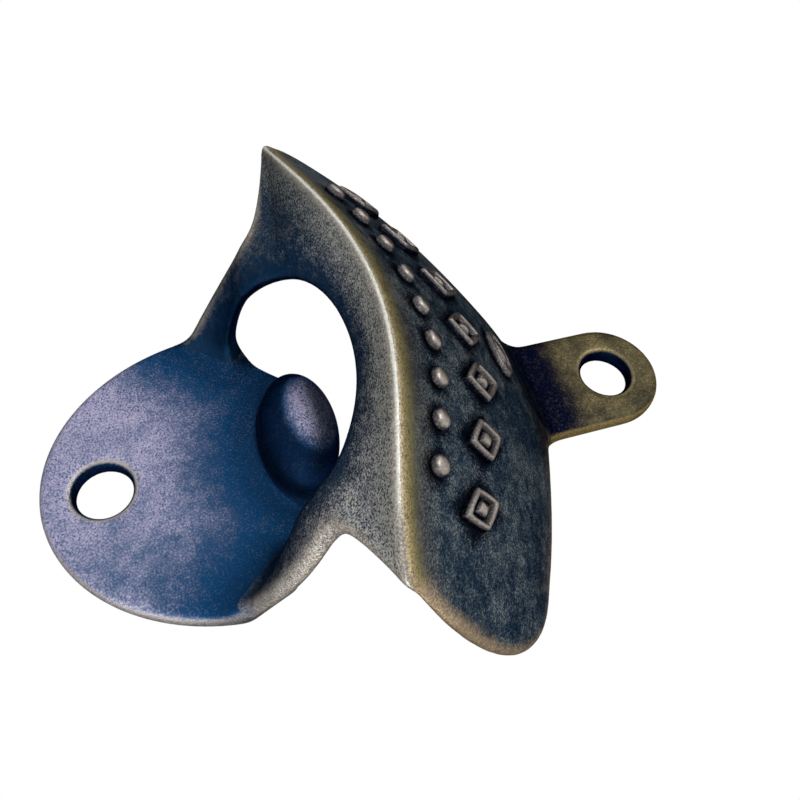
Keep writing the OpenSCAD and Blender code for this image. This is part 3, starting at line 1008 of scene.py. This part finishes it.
rubbed = finish("rubbed_bronze",
                {"face": (0.13, 0.12, 0.12, 1), "shade": (0.06, 0.055, 0.06, 1), "deep": (0.003, 0.005, 0.013, 1),
                 "pale": (0.4, 0.36, 0.32, 1), "rubbed": (0.3, 0.26, 0.23, 1), "bright": (0.62, 0.56, 0.5, 1),
                 "wear": 0.9, "flank": (0.1, 0.1, 0.1, 1)},
                grain={"Grain": 4.4, "Cloud": 0.8, "Spread": 0.2},
                specks={"Strength": 0.6, "Uneven": 0.5, "Glint": 0.3},
                wear={"Start": 0.08, "End": 0.24, "Patchy": 0.1, "Shallow": 0.0, "Deep": 0.5},
                rough=0.42, bump=0.45, bands=plain)

# %% [markdown]
# ## Dark bronze
# Hood, lip and arms are dark, with bands that follow the form: navy round the mouth, where fingers never rub, a grey
# bloom on the lip, stronger where the lip's painted light is paler, a silver line on the ridge that is a worn edge and
# a painted highlight, then a brassy and a brown band on the hood, black wax and painted shadow round the ornament, and
# painted shade on the hood next to the ear and at the feet of the arms. Each band is a stretch of one mask, frayed by
# the grain, laid over the one before.

# %% Bands of the dark bronze
# Colours of wax with painted shade, of the navy patina, and of painted shade at the feet of the arms.
WAX_AND_SHADE, NAVY, FOOT_SHADE_BLUE = (0.003, 0.005, 0.013, 1), (0.004, 0.02, 0.05, 1), (0.007, 0.028, 0.07, 1)
BLOOM, UMBER = (0.43, 0.42, 0.35, 1), (0.14, 0.115, 0.07, 1)
BRASS, SILVER_WEAR_AND_HIGHLIGHT = (0.33, 0.275, 0.078, 1), (0.78, 0.77, 0.69, 1)
TEAL = (0.98, 1.08, 1.06, 1)


def ridge_bands(tree, colour, grains):
    def times(a, b):
        return sums(tree, "MULTIPLY", a, b)

    def plus(a, b):
        return sums(tree, "ADD", a, b)

    speckle = sums(tree, "SUBTRACT", grains["Speckle"], 0.5)
    cloud = sums(tree, "SUBTRACT", grains["Cloud"], 0.5)
    plain_ridge = mask_of(tree, "ridge")
    ridge = plus(plain_ridge, times(speckle, 0.7))
    rim = plus(mask_of(tree, "rim"), times(cloud, 1.6))
    beside = plus(mask_of(tree, "beside"), times(speckle, 0.5))
    on_hood = stepped(tree, plain_ridge, 0.0, 0.3)
    off_hood = stepped(tree, plain_ridge, 0.0, -0.6)
    # Black wax and painted shadow round the ornament, and painted shade on the hood next to the ear.
    wax_and_shadow = times(stepped(tree, beside, 1.5, 0.2), on_hood)
    ear = times(stepped(tree, mask_of(tree, "close"), 12.0, 2.0), on_hood)
    # Painted shade at the feet of the arms, next to the plate.
    foot = times(stepped(tree, mask_of(tree, "close"), 10.0, 2.5), off_hood)
    navy = stepped(tree, plus(rim, speckle), 6.0, 1.4)
    # The grey bloom is stronger where the lip's painted light is paler.
    bloom = times(band(tree, ridge, -3.4, -1.0, -0.7, -0.2), plus(times(mask_of(tree, "tone_and_light"), 0.5), 0.5))
    umber = band(tree, ridge, 0.3, 0.8, 1.3, 3.2)
    brass = band(tree, ridge, 0.1, 0.4, 0.7, 1.6)
    grit = plus(times(grains["Speckle"], 0.85), 0.05)
    shine = plus(times(grains["Speckle"], 0.25), 0.72)
    teal = blend(tree, 1.0, colour, TEAL, "MULTIPLY")
    colour = blend(tree, stepped(tree, plain_ridge, 0.4, 3.0), colour, teal)
    colour = blend(tree, times(sums(tree, "MAXIMUM", wax_and_shadow, ear), 0.92), colour, WAX_AND_SHADE)
    colour = blend(tree, times(foot, 0.85), colour, FOOT_SHADE_BLUE)
    colour = blend(tree, times(bloom, grit), colour, BLOOM)
    colour = blend(tree, times(umber, times(grit, 0.7)), colour, UMBER)
    colour = blend(tree, times(brass, plus(grit, 0.15)), colour, BRASS)
    colour = blend(tree, times(silver_wear_and_highlight(tree), shine), colour, SILVER_WEAR_AND_HIGHLIGHT)
    return blend(tree, times(navy, 0.92), colour, NAVY)


dark = finish("dark_bronze",
              {"face": (0.225, 0.24, 0.26, 1), "shade": (0.015, 0.03, 0.053, 1), "deep": (0.004, 0.013, 0.03, 1),
               "pale": (0.56, 0.53, 0.48, 1), "rubbed": (0.28, 0.24, 0.19, 1), "bright": (0.64, 0.58, 0.5, 1),
               "wear": 0.82, "flank": (0.2, 0.19, 0.18, 1), "earthy": (1.15, 0.98, 0.74, 1)},
              grain={"Grain": 5.2, "Cloud": 0.7, "Spread": 0.13},
              specks={"Strength": 1.0, "Uneven": 0.25, "Glint": 0.09},
              wear={"Start": 0.03, "End": 0.17, "Patchy": 0.12, "Shallow": -0.3, "Deep": 0.4},
              rough=0.44, bump=0.9, bands=ridge_bands)

# %% [markdown]
# ## Hand over
# Each piece gets its finish, hides the region that it stands for, and rides on the one body of the part, because the
# opener has no joint.

# %% Finish, ride, and close
FINISHES = {"slate_patina": slate, "dark_bronze": dark, "olive_bronze": olive, "rubbed_bronze": rubbed}
SLOTS = {"wall_plate": "slate_patina", "fulcrum_knob": "slate_patina", "left_arm": "dark_bronze",
         "right_arm": "dark_bronze", "cap_lip": "dark_bronze", "hood": "dark_bronze", "top_ear": "olive_bronze",
         "lozenge_row": "rubbed_bronze", "stud_row": "rubbed_bronze", "oval_boss": "rubbed_bronze"}
for name, piece in pieces.items():
    piece.data.materials.append(FINISHES[SLOTS[name]])
    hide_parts(name)
    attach(piece, "root")
